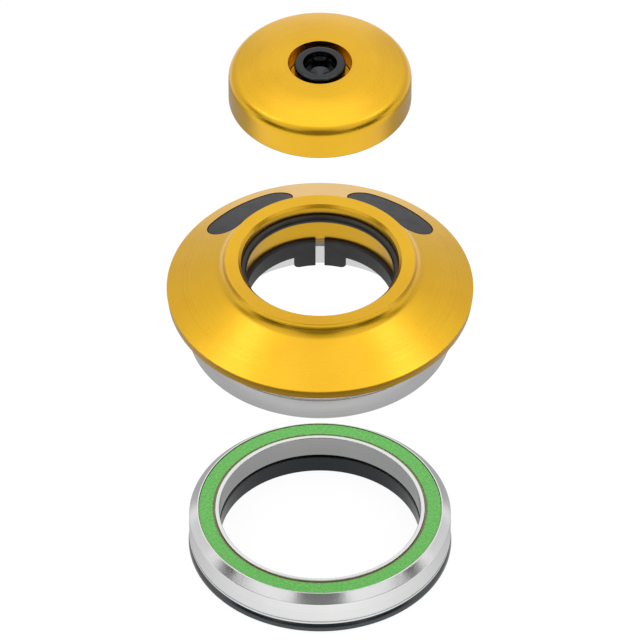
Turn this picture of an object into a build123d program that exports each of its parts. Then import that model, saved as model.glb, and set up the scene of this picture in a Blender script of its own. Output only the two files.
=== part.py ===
"""Bicycle headset for integrated 52 mm bearings, laid out along the steerer axis.

Three groups stand on one axis, apart from each other as in the photograph:
the crown race with the lower bearing, the upper bearing with its compression
ring and cover, and the top cap with its bolt. Millimetres, +Z up the steerer,
origin at the centre of the face where the crown race sits on the fork crown.
"""

import math
import os

from build123d import *

os.makedirs("parts", exist_ok=True)

# Steerer that runs through the headset
upper_steerer_radius = 14.3

# Distances between the three groups along the axis
bearing_spacing = 54.7
cap_lift = 42.9

# Bearing cartridge, the same in both places
bearing_outer_radius = 26.0
bearing_section = 6.0
bearing_height = 7.0
frame_bevel = 1.6
frame_bevel_land = 0.2
seat_chamfer = 2.4
ring_edge_break = 0.2
ball_diameter = 3.175
ball_count = 32
raceway_clearance = 0.03
outer_shoulder_depth = 0.87
outer_land_depth = 0.17
inner_shoulder_depth = 1.37
inner_land_depth = 0.12
lip_land_wall = 0.8
mark_groove_height = 0.7
mark_groove_width = 0.24
mark_groove_depth = 0.12
seal_thickness = 0.6
seal_recess = 0.15
seal_side_gap = 0.05
seal_floor_gap = 0.1
seal_lip_width = 0.45
seal_lip_drop = 0.2
cage_wall = 1.2
cage_side_gap = 0.15
cage_end_gap = 0.25
cage_skirt = 1.3
pocket_clearance = 0.06

# Crown race
race_bore_step = 0.1
race_flange_overhang = 0.15
race_flange_height = 1.8
race_to_bearing_gap = 0.3
race_lip = 0.9
race_edge_rise = 0.35
race_edge_inset = 0.65
race_bottom_break = 0.3
seat_gap = 0.03

# Cover, with its drops measured down from its top face
cover_overhang = 4.0
cover_rim_drop = 7.2
cover_rim_height = 2.0
cover_rim_undercut = 0.25
cover_rim_wall = 2.0
cover_slope_deg = 27.0
cover_wall = 2.2
cover_bore_clearance = 0.9
cover_mouth_clearance = 1.15
cover_bore_chamfer = 0.55
cover_top_width = 2.65
cover_neck_flare = 0.05
cover_neck_drop = 0.3
cover_flare_width = 1.75
cover_edge_break = 0.15
cover_collar_depth = 8.45
cover_collar_wall = 2.5

# Seal ring round the steerer, in the cover's bore
o_ring_section = 1.76
o_ring_squeeze = 0.03
o_ring_depth = 3.0
o_ring_groove_gap = 0.09

# Cable ports in the cover and their blanking plugs
port_neck_margin = 1.2
port_rim_margin = 2.9
port_start_deg = 13.5
port_end_deg = 61.0
plug_side_gap = 0.08
plug_sink = 0.06
plug_lip_gap = 0.2
plug_lip_thickness = 0.9
plug_grip_gap = 0.05

# Compression ring
ring_bore_clearance = 0.05
ring_collar_wall = 1.25
ring_collar_height = 3.6
ring_land_margin = 0.5
ring_edge_height = 0.8
ring_edge_rise = 3.3
ring_skirt_wall = 1.4
ring_skirt_end = 0.2
ring_break = 0.3
ring_split_width = 1.74
ring_tab_half_angle_deg = 20.8
ring_tab_drop = 2.8
ring_tab_corner = 1.2
cable_window_overreach = 0.4
cable_window_start_deg = 24.0

# Top cap
cap_wall = 3.05
cap_height = 9.0
cap_crown = 1.5
cap_corner_radius = 2.4
cap_deck = 2.8
cap_socket_clearance = 0.3
cap_groove_width = 4.1
cap_boss_drop = 5.6
cap_recess_gap = 1.2
cap_recess_depth = 4.1
cap_foot_break = 0.25

# Cap bolt, an M6 socket head screw
bolt_head_radius = 4.95
bolt_head_height = 4.0
bolt_head_corner = 0.6
bolt_head_countersink_radius = 3.3
bolt_head_countersink = 2.5
bolt_hex_sides = 6
bolt_hex_across_flats = 5.0
bolt_hex_depth = 2.6
bolt_shank_radius = 3.0
bolt_length = 16.0
bolt_neck_radius = 2.6
bolt_neck_length = 2.4
bolt_tip_chamfer = 0.6
bolt_hole_clearance = 0.25

# Radii that follow from the sizes above
bearing_bore_radius = bearing_outer_radius - bearing_section
pitch_radius = bearing_outer_radius - bearing_section / 2
ball_radius = ball_diameter / 2
raceway_radius = ball_radius + raceway_clearance
outer_shoulder_radius = pitch_radius + raceway_radius - outer_shoulder_depth
outer_land_radius = pitch_radius + raceway_radius - outer_land_depth
inner_shoulder_radius = pitch_radius - raceway_radius + inner_shoulder_depth
inner_land_radius = pitch_radius - raceway_radius + inner_land_depth
lip_land_radius = bearing_bore_radius + lip_land_wall
frame_end_seal_seat_radius = bearing_outer_radius - frame_bevel - frame_bevel_land
crown_seat_radius = bearing_bore_radius - race_bore_step
race_flange_radius = bearing_outer_radius + race_flange_overhang
cover_radius = bearing_outer_radius + cover_overhang
cover_bore_radius = upper_steerer_radius + cover_bore_clearance
cover_mouth_radius = upper_steerer_radius + cover_mouth_clearance
cover_collar_radius = cover_bore_radius + cover_collar_wall
cover_top_radius = cover_mouth_radius + cover_bore_chamfer + cover_top_width
neck_radius = cover_top_radius + cover_neck_flare
cover_flare_radius = cover_top_radius + cover_flare_width
port_inner_radius = neck_radius + port_neck_margin
port_outer_radius = cover_radius - port_rim_margin
port_width = port_outer_radius - port_inner_radius
port_mid_radius = (port_outer_radius + port_inner_radius) / 2
ring_bore_radius = upper_steerer_radius + ring_bore_clearance
ring_land_radius = cover_collar_radius + ring_land_margin
ring_skirt_bore_radius = bearing_bore_radius - ring_skirt_wall
cable_window_outer_radius = bearing_bore_radius + cable_window_overreach
cap_socket_radius = upper_steerer_radius + cap_socket_clearance
cap_radius = cap_socket_radius + cap_wall
cap_boss_radius = cap_socket_radius - cap_groove_width
cap_recess_radius = bolt_head_radius + cap_recess_gap

# Heights that follow from the sizes above
lower_bearing_bottom = race_flange_height + race_to_bearing_gap
upper_bearing_bottom = lower_bearing_bottom + bearing_spacing
upper_bearing_top = upper_bearing_bottom + bearing_height
ring_top = upper_bearing_top + ring_edge_height + ring_edge_rise
cover_top = ring_top + cover_collar_depth
cap_foot = cover_top + cap_lift
cap_top = cap_foot + cap_height
race_centre = bearing_height / 2
seal_seat_depth = seal_recess + seal_thickness + seal_floor_gap
back_deg = 90.0
upright_deg = 90.0


def revolve_section(points: list) -> Part:
    """Turn a closed section, given as (radius, height) points, about the steerer axis."""
    with BuildPart() as turned:
        with BuildSketch(Plane.XZ):
            with BuildLine():
                Polyline(*points, close=True)
            make_face()
        revolve(axis=Axis.Z)
    return turned.part


def raceway_rise(shoulder_radius: float) -> float:
    """Height above the ball centres at which the raceway meets a wall of this radius."""
    return math.sqrt(raceway_radius**2 - (shoulder_radius - pitch_radius) ** 2)


def save(piece: Part, node: str) -> None:
    """Label one finished piece and write it under its own name."""
    piece.label = node
    export_step(piece, f"parts/{node}.step")


def build_bearing(place: str, bottom: float, bevel_up: bool) -> None:
    """Write the six pieces of one bearing cartridge.

    Heights inside the cartridge run from its plain end to its bevelled end, and
    level() turns them into heights of the headset for either way up.
    """

    def level(rise: float) -> float:
        return bottom + rise if bevel_up else bottom + bearing_height - rise

    frame_end_seat = level(bearing_height - seal_seat_depth)
    wall_edge = bearing_outer_radius - mark_groove_depth
    groove_low = level(mark_groove_height - mark_groove_width / 2)
    groove_high = level(mark_groove_height + mark_groove_width / 2)
    centre = level(race_centre)

    with BuildPart() as outer_ring:
        with BuildSketch(Plane.XZ):
            with BuildLine():
                Polyline(
                    (outer_land_radius, level(race_centre - raceway_rise(outer_land_radius))),
                    (outer_land_radius, level(0)),
                    (bearing_outer_radius - ring_edge_break, level(0)),
                    (bearing_outer_radius, level(ring_edge_break)),
                    (bearing_outer_radius, groove_low),
                    (wall_edge, groove_low),
                    (wall_edge, groove_high),
                    (bearing_outer_radius, groove_high),
                    (bearing_outer_radius, level(bearing_height - frame_bevel)),
                    (bearing_outer_radius - frame_bevel, level(bearing_height)),
                    (frame_end_seal_seat_radius, level(bearing_height)),
                    (frame_end_seal_seat_radius, frame_end_seat),
                    (outer_shoulder_radius, frame_end_seat),
                    (outer_shoulder_radius, level(race_centre + raceway_rise(outer_shoulder_radius))),
                )
                ThreePointArc(
                    (outer_shoulder_radius, level(race_centre + raceway_rise(outer_shoulder_radius))),
                    (pitch_radius + raceway_radius, centre),
                    (outer_land_radius, level(race_centre - raceway_rise(outer_land_radius))),
                )
            make_face()
        revolve(axis=Axis.Z)

    with BuildPart() as inner_ring:
        with BuildSketch(Plane.XZ):
            with BuildLine():
                Polyline(
                    (inner_land_radius, level(race_centre + raceway_rise(inner_land_radius))),
                    (inner_land_radius, frame_end_seat),
                    (lip_land_radius, frame_end_seat),
                    (lip_land_radius, level(bearing_height)),
                    (bearing_bore_radius + ring_edge_break, level(bearing_height)),
                    (bearing_bore_radius, level(bearing_height - ring_edge_break)),
                    (bearing_bore_radius, level(seat_chamfer)),
                    (bearing_bore_radius + seat_chamfer, level(0)),
                    (inner_shoulder_radius, level(0)),
                    (inner_shoulder_radius, level(race_centre - raceway_rise(inner_shoulder_radius))),
                )
                ThreePointArc(
                    (inner_shoulder_radius, level(race_centre - raceway_rise(inner_shoulder_radius))),
                    (pitch_radius - raceway_radius, centre),
                    (inner_land_radius, level(race_centre + raceway_rise(inner_land_radius))),
                )
            make_face()
        revolve(axis=Axis.Z)

    with BuildPart(Plane.XY.offset(centre)) as balls:
        with PolarLocations(pitch_radius, ball_count):
            Sphere(ball_radius)

    cage_outer_radius = outer_shoulder_radius - cage_side_gap
    pocket_radius = ball_radius + pocket_clearance
    cage_low = race_centre - cage_skirt
    cage_high = bearing_height - seal_seat_depth - cage_end_gap
    cage_inner_radius = cage_outer_radius - cage_wall
    with BuildPart() as ball_cage:
        with BuildSketch(Plane.XZ):
            with BuildLine():
                Polyline(
                    (cage_inner_radius, level(cage_low)),
                    (cage_outer_radius, level(cage_low)),
                    (cage_outer_radius, level(cage_high)),
                    (cage_inner_radius, level(cage_high)),
                    close=True,
                )
            make_face()
        revolve(axis=Axis.Z)
        with Locations(Plane.XY.offset(centre)):
            with PolarLocations(pitch_radius, ball_count):
                Sphere(pocket_radius, mode=Mode.SUBTRACT)

    frame_seal_face = bearing_height - seal_recess
    frame_end_seal = revolve_section(
        [
            (lip_land_radius + seal_side_gap, level(frame_seal_face - seal_thickness)),
            (frame_end_seal_seat_radius - seal_side_gap, level(frame_seal_face - seal_thickness)),
            (frame_end_seal_seat_radius - seal_side_gap, level(frame_seal_face)),
            (lip_land_radius + seal_lip_width, level(frame_seal_face)),
            (lip_land_radius + seal_lip_width, level(frame_seal_face - seal_lip_drop)),
            (lip_land_radius + seal_side_gap, level(frame_seal_face - seal_lip_drop)),
        ]
    )
    seat_end_seal = revolve_section(
        [
            (inner_shoulder_radius + seal_side_gap, level(seal_recess)),
            (outer_land_radius - seal_side_gap, level(seal_recess)),
            (outer_land_radius - seal_side_gap, level(seal_recess + seal_thickness)),
            (inner_shoulder_radius + seal_side_gap, level(seal_recess + seal_thickness)),
        ]
    )

    save(outer_ring.part, f"{place}_outer_ring")
    save(inner_ring.part, f"{place}_inner_ring")
    save(balls.part, f"{place}_balls")
    save(ball_cage.part, f"{place}_ball_cage")
    save(frame_end_seal, f"{place}_bevel_side_seal")
    save(seat_end_seal, f"{place}_chamfer_side_seal")


build_bearing("lower", lower_bearing_bottom, bevel_up=True)
build_bearing("upper", upper_bearing_bottom, bevel_up=False)

# Crown race: a cone that fills the bearing's lower chamfer, on a round edged flange
race_cone_foot = bearing_bore_radius + seat_chamfer + race_to_bearing_gap - seat_gap
race_cone_top_radius = crown_seat_radius + race_lip
race_cone_rise = race_cone_foot - race_cone_top_radius
with BuildPart() as crown_race:
    with BuildSketch(Plane.XZ):
        with BuildLine():
            TangentArc(
                (race_flange_radius, race_edge_rise),
                (race_flange_radius - race_edge_inset, race_flange_height),
                tangent=(0, 1),
            )
            Polyline(
                (race_flange_radius, race_edge_rise),
                (race_flange_radius - race_edge_rise, 0),
                (crown_seat_radius + race_bottom_break, 0),
                (crown_seat_radius, race_bottom_break),
                (crown_seat_radius, race_flange_height + race_cone_rise),
                (race_cone_top_radius, race_flange_height + race_cone_rise),
                (race_cone_foot, race_flange_height),
                (race_flange_radius - race_edge_inset, race_flange_height),
            )
        make_face()
    revolve(axis=Axis.Z)
save(crown_race.part, "crown_race")

# Cover: a flared cone with a hollow underside, an inner collar and a seal groove
slope = math.tan(math.radians(cover_slope_deg))
flare_drop = cover_rim_drop - (cover_radius - cover_flare_radius) * slope
o_ring_radius = o_ring_section / 2
o_ring_centre_radius = upper_steerer_radius + o_ring_squeeze + o_ring_radius
groove_floor_radius = o_ring_centre_radius + o_ring_radius + o_ring_groove_gap
groove_top = cover_top - o_ring_depth + o_ring_radius + o_ring_groove_gap
groove_bottom = cover_top - o_ring_depth - o_ring_radius - o_ring_groove_gap
rim_inner_radius = cover_radius - cover_rim_wall


def cone_height(radius: float) -> float:
    """Height of the cover's outer cone at this radius."""
    return cover_top - cover_rim_drop + (cover_radius - radius) * slope


collar_foot = cover_top - cover_collar_depth
rim_foot = cover_top - cover_rim_drop - cover_rim_height
with BuildPart() as headset_cover:
    with BuildSketch(Plane.XZ):
        with BuildLine():
            TangentArc(
                (cover_flare_radius, cover_top - flare_drop),
                (neck_radius, cover_top - cover_neck_drop),
                tangent=(-1, slope),
            )
            Polyline(
                (neck_radius, cover_top - cover_neck_drop),
                (cover_top_radius, cover_top - cover_edge_break),
                (cover_top_radius - cover_edge_break, cover_top),
                (cover_mouth_radius + cover_bore_chamfer, cover_top),
                (cover_mouth_radius, cover_top - cover_bore_chamfer),
                (cover_mouth_radius, groove_top),
                (groove_floor_radius, groove_top),
                (groove_floor_radius, groove_bottom),
                (cover_bore_radius, groove_bottom),
                (cover_bore_radius, collar_foot + cover_edge_break),
                (cover_bore_radius + cover_edge_break, collar_foot),
                (cover_collar_radius - cover_edge_break, collar_foot),
                (cover_collar_radius, collar_foot + cover_edge_break),
                (cover_collar_radius, cone_height(cover_collar_radius) - cover_wall),
                (rim_inner_radius, cone_height(rim_inner_radius) - cover_wall),
                (rim_inner_radius, rim_foot),
                (cover_radius - cover_rim_undercut - cover_edge_break, rim_foot),
                (cover_radius - cover_rim_undercut, rim_foot + cover_edge_break),
                (cover_radius, cone_height(cover_radius) - cover_edge_break),
                (cover_radius - cover_edge_break, cone_height(cover_radius - cover_edge_break)),
                (cover_flare_radius, cover_top - flare_drop),
            )
        make_face()
    revolve(axis=Axis.Z)
    port_end_trim = math.degrees(port_width / 2 / port_mid_radius)
    port_sweep = port_end_deg - port_start_deg - 2 * port_end_trim
    first_port_deg = back_deg - port_end_deg + port_end_trim
    with BuildSketch(Plane.XY.offset(rim_foot)):
        port_line = CenterArc((0, 0), port_mid_radius, first_port_deg, port_sweep)
        SlotArc(port_line, port_width)
        mirror(about=Plane.YZ)
    extrude(amount=cover_rim_drop + cover_rim_height, mode=Mode.SUBTRACT)
save(headset_cover.part, "headset_cover")

with BuildPart() as steerer_o_ring:
    with BuildSketch(Plane.XZ):
        with Locations((o_ring_centre_radius, cover_top - o_ring_depth)):
            Circle(o_ring_radius)
    revolve(axis=Axis.Z)
save(steerer_o_ring.part, "steerer_o_ring")


# Blanking plugs: a body flush with the cone and a lip that grips behind the port
def plug_layer(width: float, drop: float, thickness: float) -> Part:
    """Make one arc-shaped layer of the right plug, bent to the cone.

    The layer lies drop below the outer cone and its ends stay round.
    """
    layer_top = cone_height(cover_collar_radius) - drop
    with BuildPart() as layer:
        with BuildSketch(Plane.XY.offset(rim_foot - cover_collar_depth)):
            layer_line = CenterArc((0, 0), port_mid_radius, first_port_deg, port_sweep)
            SlotArc(layer_line, width)
        extrude(amount=layer_top - rim_foot + cover_collar_depth)
        with BuildSketch(Plane.XZ):
            with BuildLine():
                Polyline(
                    (cover_collar_radius, layer_top),
                    (cover_radius, cone_height(cover_radius) - drop),
                    (cover_radius, cone_height(cover_radius) - drop - thickness),
                    (cover_collar_radius, layer_top - thickness),
                    close=True,
                )
            make_face()
        revolve(axis=Axis.Z, mode=Mode.INTERSECT)
    return layer.part


plug_width = port_width - 2 * plug_side_gap
plug_lip_width = port_rim_margin - cover_rim_wall - plug_lip_gap
with BuildPart() as port_plug_right:
    add(plug_layer(plug_width, plug_sink, cover_wall + plug_grip_gap - plug_sink))
    add(plug_layer(port_width + 2 * plug_lip_width, cover_wall + plug_grip_gap, plug_lip_thickness))
save(port_plug_right.part, "port_plug_right")

with BuildPart() as port_plug_left:
    mirror(port_plug_right.part, about=Plane.YZ)
save(port_plug_left.part, "port_plug_left")

# Compression ring: a split wedge between the steerer and the upper bearing
ring_cone_foot = bearing_bore_radius + seat_chamfer - seat_gap
ring_skirt_foot = upper_bearing_top - seat_chamfer + ring_skirt_end
ring_collar_foot = ring_top - ring_collar_height
with BuildPart() as ring_tabs:
    with BuildSketch(Plane.XZ.offset(-ring_bore_radius - ring_collar_wall)):
        with Locations((0, ring_collar_foot - ring_tab_drop)):
            tab_half_width = ring_bore_radius * math.sin(math.radians(ring_tab_half_angle_deg))
            Rectangle(
                2 * tab_half_width,
                ring_tab_drop + ring_collar_height / 2,
                align=(Align.CENTER, Align.MIN),
            )
        fillet(vertices().group_by(Axis.Y)[0], ring_tab_corner)
    extrude(amount=ring_bore_radius + ring_collar_wall)
    with BuildSketch(Plane.XY.offset(ring_collar_foot - ring_tab_drop)):
        Circle(ring_bore_radius + ring_collar_wall)
        Circle(ring_bore_radius, mode=Mode.SUBTRACT)
    extrude(amount=ring_collar_height + ring_tab_drop, mode=Mode.INTERSECT)

with BuildPart() as compression_ring:
    with BuildSketch(Plane.XZ):
        with BuildLine():
            Polyline(
                (ring_bore_radius + ring_break, ring_top),
                (ring_land_radius, ring_top),
                (ring_cone_foot, upper_bearing_top + ring_edge_height),
                (ring_cone_foot, upper_bearing_top),
                (ring_cone_foot - seat_chamfer + ring_skirt_end, ring_skirt_foot),
                (ring_skirt_bore_radius, ring_skirt_foot),
                (ring_skirt_bore_radius, ring_collar_foot),
                (ring_bore_radius, ring_collar_foot),
                (ring_bore_radius, ring_top - ring_break),
                close=True,
            )
        make_face()
    revolve(axis=Axis.Z)
    window_inner_radius = ring_bore_radius + ring_collar_wall
    window_mid_radius = (window_inner_radius + cable_window_outer_radius) / 2
    window_width = cable_window_outer_radius - window_inner_radius
    window_end_trim = math.degrees(window_width / 2 / window_mid_radius)
    window_first_deg = back_deg - port_end_deg + window_end_trim
    window_sweep = port_end_deg - cable_window_start_deg - 2 * window_end_trim
    with BuildSketch(Plane.XY.offset(ring_skirt_foot)):
        window_line = CenterArc((0, 0), window_mid_radius, window_first_deg, window_sweep)
        SlotArc(window_line, window_width)
        mirror(about=Plane.YZ)
    extrude(amount=ring_top - ring_skirt_foot, mode=Mode.SUBTRACT)
    add(ring_tabs.part)
    with BuildSketch(Plane.XY.offset(ring_collar_foot - ring_tab_drop)):
        with Locations((0, bearing_bore_radius)):
            Rectangle(ring_split_width, 2 * (bearing_bore_radius - ring_bore_radius / 2))
    extrude(amount=ring_top - ring_collar_foot + ring_tab_drop, mode=Mode.SUBTRACT)
save(compression_ring.part, "compression_ring")

# Top cap: a domed deck, a counterbore for the bolt and a socket for the steerer end
cap_corner_start = cap_radius - cap_corner_radius
cap_dome_edge = cap_top - cap_crown
cap_dome_run = cap_corner_start - cap_recess_radius
cap_dome_radius = cap_dome_run / math.sin(2 * math.atan2(cap_crown, cap_dome_run))
cap_corner_deg = math.degrees(math.asin(cap_dome_run / (cap_dome_radius - cap_corner_radius)))
cap_corner_foot = (
    cap_top
    - cap_dome_radius
    + (cap_dome_radius - cap_corner_radius) * math.cos(math.radians(cap_corner_deg))
)
cap_hole_radius = bolt_shank_radius + bolt_hole_clearance
with BuildPart() as top_cap:
    with BuildSketch(Plane.XZ):
        with BuildLine():
            CenterArc(
                (cap_recess_radius, cap_top - cap_dome_radius),
                cap_dome_radius,
                upright_deg,
                -cap_corner_deg,
            )
            CenterArc(
                (cap_corner_start, cap_corner_foot),
                cap_corner_radius,
                upright_deg - cap_corner_deg,
                cap_corner_deg - upright_deg,
            )
            Polyline(
                (cap_radius, cap_corner_foot),
                (cap_radius, cap_foot + cap_foot_break),
                (cap_radius - cap_foot_break, cap_foot),
                (cap_socket_radius + cap_foot_break, cap_foot),
                (cap_socket_radius, cap_foot + cap_foot_break),
                (cap_socket_radius, cap_dome_edge - cap_deck),
                (cap_boss_radius, cap_dome_edge - cap_deck),
                (cap_boss_radius, cap_top - cap_boss_drop),
                (cap_hole_radius, cap_top - cap_boss_drop),
                (cap_hole_radius, cap_top - cap_recess_depth),
                (cap_recess_radius, cap_top - cap_recess_depth),
                (cap_recess_radius, cap_top),
            )
        make_face()
    revolve(axis=Axis.Z)
save(top_cap.part, "top_cap")

# Cap bolt: cylindrical head with a rounded rim and a hexagon socket in a conical mouth
head_foot = cap_top - cap_recess_depth
head_top = head_foot + bolt_head_height
bolt_tip = head_foot - bolt_length
with BuildPart() as cap_bolt:
    with BuildSketch(Plane.XZ):
        with BuildLine():
            head_side = Line(
                (bolt_head_radius, head_foot),
                (bolt_head_radius, head_top - bolt_head_corner),
            )
            JernArc(head_side @ 1, head_side % 1, bolt_head_corner, upright_deg)
            Polyline(
                (bolt_head_radius - bolt_head_corner, head_top),
                (bolt_head_countersink_radius, head_top),
                (0, head_top - bolt_head_countersink),
                (0, bolt_tip),
                (bolt_shank_radius - bolt_tip_chamfer, bolt_tip),
                (bolt_shank_radius, bolt_tip + bolt_tip_chamfer),
                (bolt_shank_radius, head_foot - bolt_neck_length),
                (bolt_neck_radius, head_foot - bolt_neck_length),
                (bolt_neck_radius, head_foot),
                (bolt_head_radius, head_foot),
            )
        make_face()
    revolve(axis=Axis.Z)
    with BuildSketch(Plane.XY.offset(head_top - bolt_hex_depth)):
        RegularPolygon(bolt_hex_across_flats / 2, bolt_hex_sides, major_radius=False)
    extrude(amount=bolt_hex_depth, mode=Mode.SUBTRACT)
save(cap_bolt.part, "cap_bolt")
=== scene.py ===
"""Dress the bicycle headset: turned aluminium cap and cover, two sealed bearings, crown race.

Every turned piece is one section swept round the steerer axis by Geometry Nodes.
Sizes are in millimetres on the classes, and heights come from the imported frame.
"""

import logging
import math
from dataclasses import dataclass, replace
from enum import Enum
from functools import cached_property
from typing import Any, Iterable

import bmesh
import bpy
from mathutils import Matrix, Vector


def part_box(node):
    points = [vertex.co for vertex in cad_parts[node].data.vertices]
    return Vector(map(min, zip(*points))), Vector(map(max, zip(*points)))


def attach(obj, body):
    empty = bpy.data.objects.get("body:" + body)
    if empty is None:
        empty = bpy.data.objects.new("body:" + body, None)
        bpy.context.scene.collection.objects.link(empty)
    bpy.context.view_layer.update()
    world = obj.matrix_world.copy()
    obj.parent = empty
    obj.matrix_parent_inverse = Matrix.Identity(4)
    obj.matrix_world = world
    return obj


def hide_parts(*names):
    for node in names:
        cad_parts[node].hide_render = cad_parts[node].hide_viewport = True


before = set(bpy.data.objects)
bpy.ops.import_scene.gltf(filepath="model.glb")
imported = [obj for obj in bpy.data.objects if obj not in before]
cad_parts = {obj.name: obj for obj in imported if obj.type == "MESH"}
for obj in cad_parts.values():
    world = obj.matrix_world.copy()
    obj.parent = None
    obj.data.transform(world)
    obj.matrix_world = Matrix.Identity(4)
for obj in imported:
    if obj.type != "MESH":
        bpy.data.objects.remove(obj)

log = logging.getLogger("headset")

MM = 0.001
RING_SEGMENTS = 240
SHARP_EDGE = math.radians(28)
SWEEP_PATH_MM = 10.0
MERGE_MM = 0.0005
AXIS_GAP_MM = 0.001
THREAD_SEGMENTS = 40
RIDGE_SIDES = 6
BALL_SEGMENTS = 24
BALL_RINGS = 14
NOISE_ROUGHNESS = 0.55
NOISE_MIDDLE = {"From Min": 0.3, "From Max": 0.7}
WHITE = (1.0, 1.0, 1.0, 1.0)

Colour = tuple[float, float, float, float]
Point = tuple[float, float]
Link = bpy.types.Node | bpy.types.NodeSocket


class Body(Enum):
    """The moving bodies of the headset, by the names that the frame gives them."""

    HEAD_TUBE = "head_tube_side"
    UPPER_STEERING = "upper_steering_side"
    LOWER_STEERING = "lower_steering_side"
    UPPER_BALLS = "upper_ball_set"
    LOWER_BALLS = "lower_ball_set"
    SCREW = "cap_screw"


class WayUp(Enum):
    """Which way the frame bevel of a bearing cartridge points."""

    BEVEL_UP = 1
    BEVEL_DOWN = -1


def linear(hex_colour: str) -> Colour:
    """Turn an sRGB hex colour into linear red, green, blue and alpha.

    Args:
        hex_colour: Six hex digits after a hash, such as "#ECBC1D".

    Returns:
        The linear colour with an alpha of one.
    """
    channels = [int(hex_colour[i : i + 2], 16) / 255 for i in (1, 3, 5)]
    red, green, blue = (c / 12.92 if c <= 0.04045 else ((c + 0.055) / 1.055) ** 2.4 for c in channels)
    return (red, green, blue, 1.0)


def add_node(
    tree: bpy.types.NodeTree,
    kind: str,
    inputs: dict[str | int, Any] | None = None,
    **settings: Any,
) -> bpy.types.Node:
    """Add a node with its settings, and link or set each of its inputs.

    Args:
        tree: The node tree that gets the node.
        kind: The node's type name.
        inputs: Input names or numbers, each with a value to set, a socket to link, or
            a node whose first enabled output is linked.
        settings: Attributes of the node and their values.

    Returns:
        The new node.
    """
    node = tree.nodes.new(kind)
    for name, value in settings.items():
        setattr(node, name, value)
    for key, value in (inputs or {}).items():
        if isinstance(value, bpy.types.Node):
            value = next(socket for socket in value.outputs if socket.enabled)
        if isinstance(value, bpy.types.NodeSocket):
            tree.links.new(value, node.inputs[key])
        else:
            node.inputs[key].default_value = value
    return node


@dataclass
class LatheCoordinates:
    """A material's Object coordinates, taken apart round the axis and along it.

    Each property adds its nodes to the tree when it is first read.
    """

    tree: bpy.types.NodeTree

    @cached_property
    def place(self) -> Link:
        """Give the place on the piece."""
        return add_node(self.tree, "ShaderNodeTexCoord").outputs["Object"]

    @cached_property
    def along(self) -> Any:
        """Give the sockets X, Y and Z of the place."""
        return add_node(self.tree, "ShaderNodeSeparateXYZ", {0: self.place}).outputs

    @cached_property
    def flat(self) -> Link:
        """Give the place as seen along the axis."""
        inputs = {0: self.along["X"], 1: self.along["Y"], 2: 0.0}
        return add_node(self.tree, "ShaderNodeCombineXYZ", inputs)

    @cached_property
    def radius(self) -> Link:
        """Give the distance from the axis."""
        return add_node(self.tree, "ShaderNodeVectorMath", {0: self.flat}, operation="LENGTH")

    @cached_property
    def section(self) -> Link:
        """Give radius and height, so that a pattern's lines run round the axis."""
        inputs = {0: self.radius, 1: self.along["Z"], 2: 0.0}
        return add_node(self.tree, "ShaderNodeCombineXYZ", inputs)

    @cached_property
    def tangent(self) -> Link:
        """Give the direction in which the tool travelled."""
        inputs = {0: (0.0, 0.0, 1.0), 1: self.flat}
        across = add_node(self.tree, "ShaderNodeVectorMath", inputs, operation="CROSS_PRODUCT")
        return add_node(self.tree, "ShaderNodeVectorMath", {0: across}, operation="NORMALIZE")


def noise_at(vector: Link, size_mm: float, detail: float) -> dict[str, Any]:
    """Give a noise's inputs for features of a real size.

    Args:
        vector: The coordinates, in metres.
        size_mm: The width of one light and one dark patch together.
        detail: How many finer layers the noise holds.

    Returns:
        The inputs. Such a noise gives values from about 0.3 to 0.7.
    """
    scale = 1.0 / (size_mm * MM)
    return {"Vector": vector, "Scale": scale, "Detail": detail, "Roughness": NOISE_ROUGHNESS}


def relief(
    tree: bpy.types.NodeTree,
    vector: Link,
    size_mm: float,
    depth_mm: float,
    detail: float,
    under: Link | None = None,
) -> tuple[bpy.types.Node, bpy.types.Node]:
    """Lay a random relief over a surface.

    Args:
        tree: The material's node tree.
        vector: The coordinates, in metres.
        size_mm: The width of one rise and one dip together.
        depth_mm: How deep the relief is.
        detail: How many finer layers it holds.
        under: The normal of a relief that lies under this one.

    Returns:
        The pattern, and the surface's normal with the relief on it.
    """
    pattern = add_node(tree, "ShaderNodeTexNoise", noise_at(vector, size_mm, detail))
    inputs = {"Strength": 1.0, "Distance": depth_mm * MM, "Height": pattern}
    if under is not None:
        inputs["Normal"] = under
    return pattern, add_node(tree, "ShaderNodeBump", inputs)


def new_material(name: str) -> bpy.types.Material:
    """Make a node material that holds no node yet."""
    material = bpy.data.materials.new(name)
    material.use_nodes = True
    material.node_tree.nodes.clear()
    return material


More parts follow.
